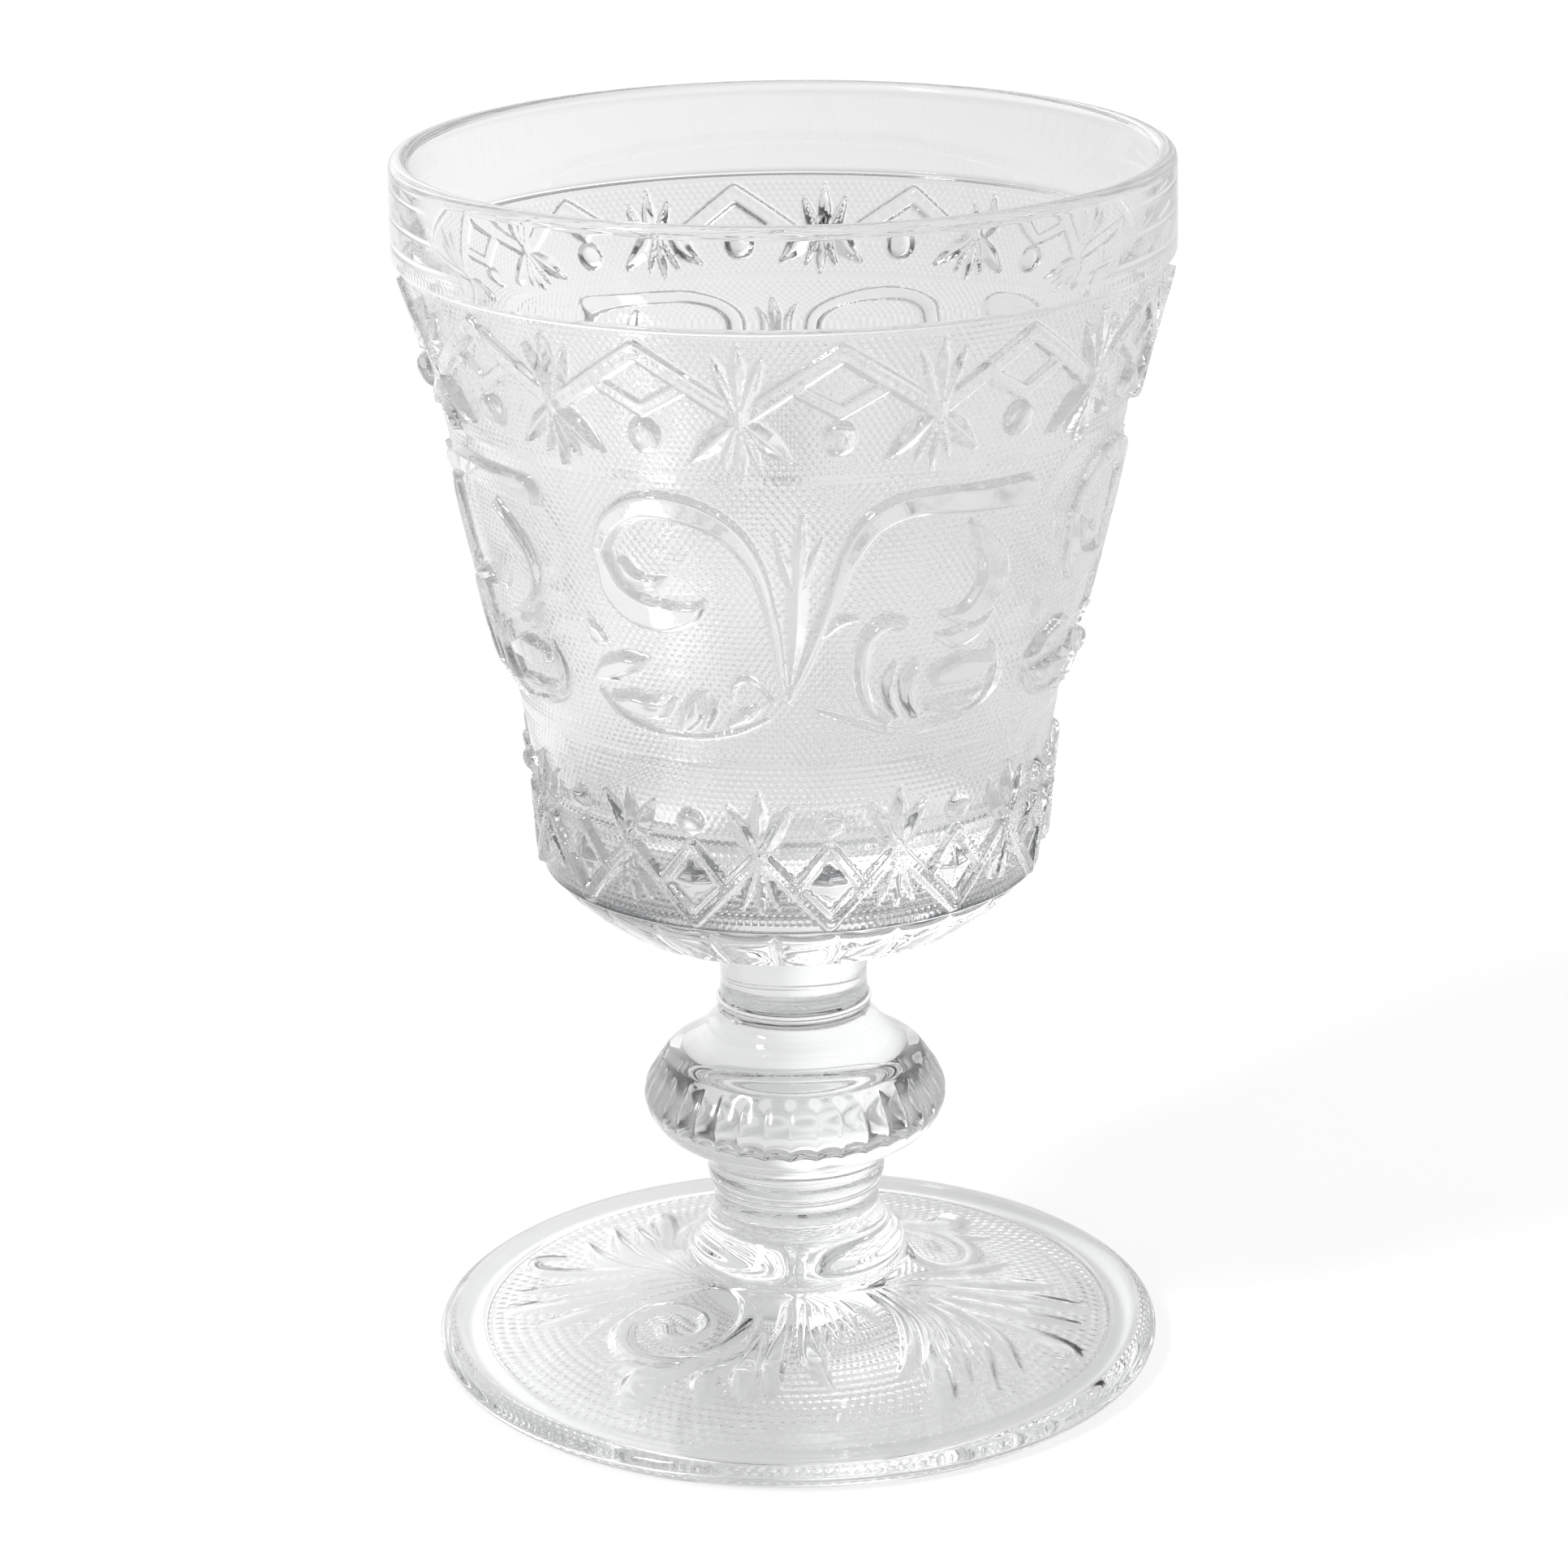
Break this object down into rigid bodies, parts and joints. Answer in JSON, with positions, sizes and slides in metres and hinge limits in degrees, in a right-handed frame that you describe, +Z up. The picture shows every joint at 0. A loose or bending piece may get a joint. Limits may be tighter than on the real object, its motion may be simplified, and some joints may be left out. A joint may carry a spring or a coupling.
{
  "type": "wine goblet",
  "caption": "Stemmed wine goblet of clear pressed glass: flared bowl with a plain rim band, faceted collar, waisted neck, ribbed knop, bell-shaped lower stem and round foot.",
  "frame": {"origin": "centre of the foot's underside, on the plane it rests on", "axes": "+Z up the goblet's axis, from the foot to the rim; the goblet is round, so +X and +Y are free"},
  "size_m": [0.0864, 0.0865, 0.142],
  "materials": {
    "bowl_glass": "clear pressed glass, fire-polished rim, stippled ground between the relief",
    "stem_glass": "clear pressed glass, fire-polished",
    "foot_glass": "clear pressed glass, smooth above, relief underneath"
  },
  "bodies": {
    "root": {"bowl": "bowl_glass", "collar": "bowl_glass", "neck": "stem_glass", "knop": "stem_glass", "lower_stem": "stem_glass", "foot": "foot_glass"}
  },
  "joints": []
}
